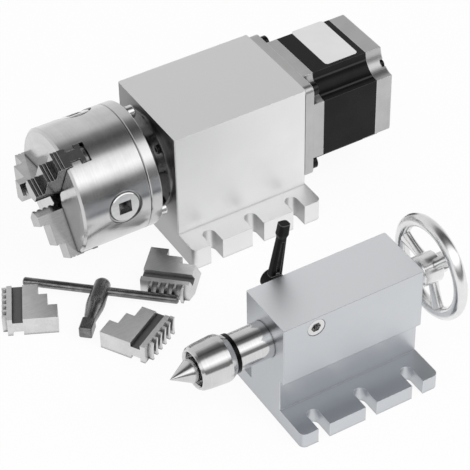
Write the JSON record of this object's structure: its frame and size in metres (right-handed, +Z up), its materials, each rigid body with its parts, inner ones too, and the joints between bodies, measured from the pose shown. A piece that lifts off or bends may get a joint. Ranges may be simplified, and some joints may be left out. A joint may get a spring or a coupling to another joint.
{
  "type": "cnc rotary axis",
  "caption": "Motor-driven rotary headstock with a self-centring chuck, a tailstock with quill, live centre and handwheel, a chuck key and spare jaws.",
  "frame": {"origin": "middle of the underside of the headstock base", "axes": "+X along the work axis from the chuck towards the motor, +Z up, the tailstock stands at -Y"},
  "size_m": [0.2318, 0.22, 0.088],
  "materials": {
    "cast_aluminium": "satin, fine milled",
    "motor_cap_aluminium": "satin die cast",
    "stator_black": "black laminations",
    "black_screw": "black oxide",
    "bearing_steel": "ground",
    "plain_steel": "turned",
    "rotor_steel": "ground laminations",
    "coupling_aluminium": "turned",
    "spider_rubber": "moulded",
    "cap_steel": "dark, polished",
    "chuck_steel": "ground and polished",
    "bolt_steel": "bright",
    "scroll_steel": "hardened",
    "jaw_steel": "ground",
    "pinion_steel": "turned",
    "quill_steel": "polished",
    "nut_bronze": "turned bronze",
    "clamp_chrome": "bright",
    "lever_plastic": "moulded, glossy",
    "wheel_chrome": "polished",
    "centre_steel": "ground",
    "centre_black": "black oxide",
    "key_steel": "black oxide",
    "spare_jaw_steel": "ground, unpolished"
  },
  "bodies": {
    "headstock": {"headstock_block": "cast_aluminium", "front_bearing_cap": "cap_steel", "bearing_cap_screws": "black_screw", "front_bearing_outer": "bearing_steel", "rear_bearing_outer": "bearing_steel", "outer_spacer": "plain_steel", "motor_front_cap": "motor_cap_aluminium", "motor_stator": "stator_black", "motor_rear_cap": "motor_cap_aluminium", "motor_front_bearing_outer": "bearing_steel", "motor_rear_bearing_outer": "bearing_steel", "motor_mount_screws": "black_screw", "motor_case_screws": "black_screw"},
    "spindle": {"spindle": "chuck_steel", "spindle_lock_nut": "plain_steel", "front_bearing_inner": "bearing_steel", "rear_bearing_inner": "bearing_steel", "inner_spacer": "plain_steel", "coupling_front_hub": "coupling_aluminium", "coupling_rear_hub": "coupling_aluminium", "coupling_spider": "spider_rubber", "coupling_screws": "black_screw", "motor_shaft": "plain_steel", "motor_rotor": "rotor_steel", "motor_front_bearing_inner": "bearing_steel", "motor_rear_bearing_inner": "bearing_steel", "chuck_body": "chuck_steel", "chuck_mounting_bolts": "bolt_steel", "scroll_cover": "plain_steel"},
    "scroll": {"scroll_plate": "scroll_steel"},
    "tailstock": {"tailstock_block": "cast_aluminium", "quill_key": "black_screw", "quill_clamp_near": "clamp_chrome", "quill_clamp_far": "clamp_chrome", "leadscrew_bush": "wheel_chrome"},
    "quill": {"quill": "quill_steel", "quill_nut": "nut_bronze", "centre_housing": "centre_steel", "centre_shank": "plain_steel", "centre_ring": "centre_black", "centre_bearing": "bearing_steel"},
    "centre": {"centre_point": "centre_steel"},
    "handwheel": {"leadscrew": "plain_steel", "handwheel": "wheel_chrome", "handwheel_nut": "wheel_chrome"},
    "clamp": {"clamp_stud": "plain_steel", "clamp_lever": "lever_plastic"},
    "chuck_key": {"chuck_key_body": "key_steel", "chuck_key_bar": "key_steel"},
    "jaw_1": {"jaw_1": "jaw_steel"},
    "pinion_1": {"pinion_1": "pinion_steel"},
    "spare_jaw_1": {"spare_jaw_1": "spare_jaw_steel"},
    "jaw_2": {"jaw_2": "jaw_steel"},
    "pinion_2": {"pinion_2": "pinion_steel"},
    "spare_jaw_2": {"spare_jaw_2": "spare_jaw_steel"},
    "jaw_3": {"jaw_3": "jaw_steel"},
    "pinion_3": {"pinion_3": "pinion_steel"},
    "spare_jaw_3": {"spare_jaw_3": "spare_jaw_steel"}
  },
  "joints": [
    {"name": "spindle_turn", "type": "hinge", "parent": "headstock", "child": "spindle", "pos_m": [0, 0, 0.044], "axis": [1, 0, 0], "continuous": true},
    {"name": "scroll_turn", "type": "hinge", "parent": "spindle", "child": "scroll", "pos_m": [-0.075, 0, 0.044], "axis": [1, 0, 0], "range_deg": [-720, 360]},
    {"name": "tailstock_move", "type": "slide", "parent": "headstock", "child": "tailstock", "axis": [1, 0, 0], "range_m": [-0.06, 0.1]},
    {"name": "handwheel_turn", "type": "hinge", "parent": "tailstock", "child": "handwheel", "pos_m": [0.034, -0.144, 0.044], "axis": [1, 0, 0], "range_deg": [-2160, 2520]},
    {"name": "quill_slide", "type": "slide", "parent": "tailstock", "child": "quill", "axis": [-1, 0, 0], "range_m": [-0.0141, 0.0121]},
    {"name": "centre_spin", "type": "hinge", "parent": "quill", "child": "centre", "pos_m": [-0.1, -0.144, 0.044], "axis": [1, 0, 0], "continuous": true},
    {"name": "clamp_swing", "type": "hinge", "parent": "tailstock", "child": "clamp", "pos_m": [-0.0406, -0.1175, 0.055], "axis": [0, 1, 0], "range_deg": [-50, 50]},
    {"name": "chuck_key_lift", "type": "slide", "parent": "headstock", "child": "chuck_key", "axis": [0, -0.25, 0.9682], "range_m": [0, 0.06]},
    {"name": "jaw_1_slide", "type": "slide", "parent": "spindle", "child": "jaw_1", "axis": [0, -0.4226, 0.9063], "range_m": [-0.0041, 0.0081]},
    {"name": "jaw_2_slide", "type": "slide", "parent": "spindle", "child": "jaw_2", "axis": [0, -0.5736, -0.8192], "range_m": [-0.0041, 0.0081]},
    {"name": "jaw_3_slide", "type": "slide", "parent": "spindle", "child": "jaw_3", "axis": [0, 0.9962, -0.0872], "range_m": [-0.0041, 0.0081]},
    {"name": "pinion_1_turn", "type": "hinge", "parent": "spindle", "child": "pinion_1", "pos_m": [-0.0685, 0, 0.044], "axis": [0, -0.9962, 0.0872], "range_deg": [-2885, 1445]},
    {"name": "pinion_2_turn", "type": "hinge", "parent": "spindle", "child": "pinion_2", "pos_m": [-0.0685, 0, 0.044], "axis": [0, 0.4226, -0.9063], "range_deg": [-2885, 1445]},
    {"name": "pinion_3_turn", "type": "hinge", "parent": "spindle", "child": "pinion_3", "pos_m": [-0.0685, 0, 0.044], "axis": [0, 0.5736, 0.8192], "range_deg": [-2885, 1445]},
    {"name": "spare_jaw_1_lift", "type": "slide", "parent": "headstock", "child": "spare_jaw_1", "axis": [0, 0, 1], "range_m": [0, 0.1]},
    {"name": "spare_jaw_2_lift", "type": "slide", "parent": "headstock", "child": "spare_jaw_2", "axis": [0.2501, -0.3002, 0.9205], "range_m": [0, 0.1]},
    {"name": "spare_jaw_3_lift", "type": "slide", "parent": "headstock", "child": "spare_jaw_3", "axis": [0, 0, 1], "range_m": [0, 0.1]}
  ],
  "couplings": [
    {"joint": "quill_slide", "follows": "handwheel_turn", "m_per_rad": -0.00031831},
    {"joint": "jaw_1_slide", "follows": "scroll_turn", "m_per_rad": -0.00063662},
    {"joint": "jaw_2_slide", "follows": "scroll_turn", "m_per_rad": -0.00063662},
    {"joint": "jaw_3_slide", "follows": "scroll_turn", "m_per_rad": -0.00063662},
    {"joint": "pinion_1_turn", "follows": "scroll_turn", "ratio": 4},
    {"joint": "pinion_2_turn", "follows": "scroll_turn", "ratio": 4},
    {"joint": "pinion_3_turn", "follows": "scroll_turn", "ratio": 4}
  ]
}
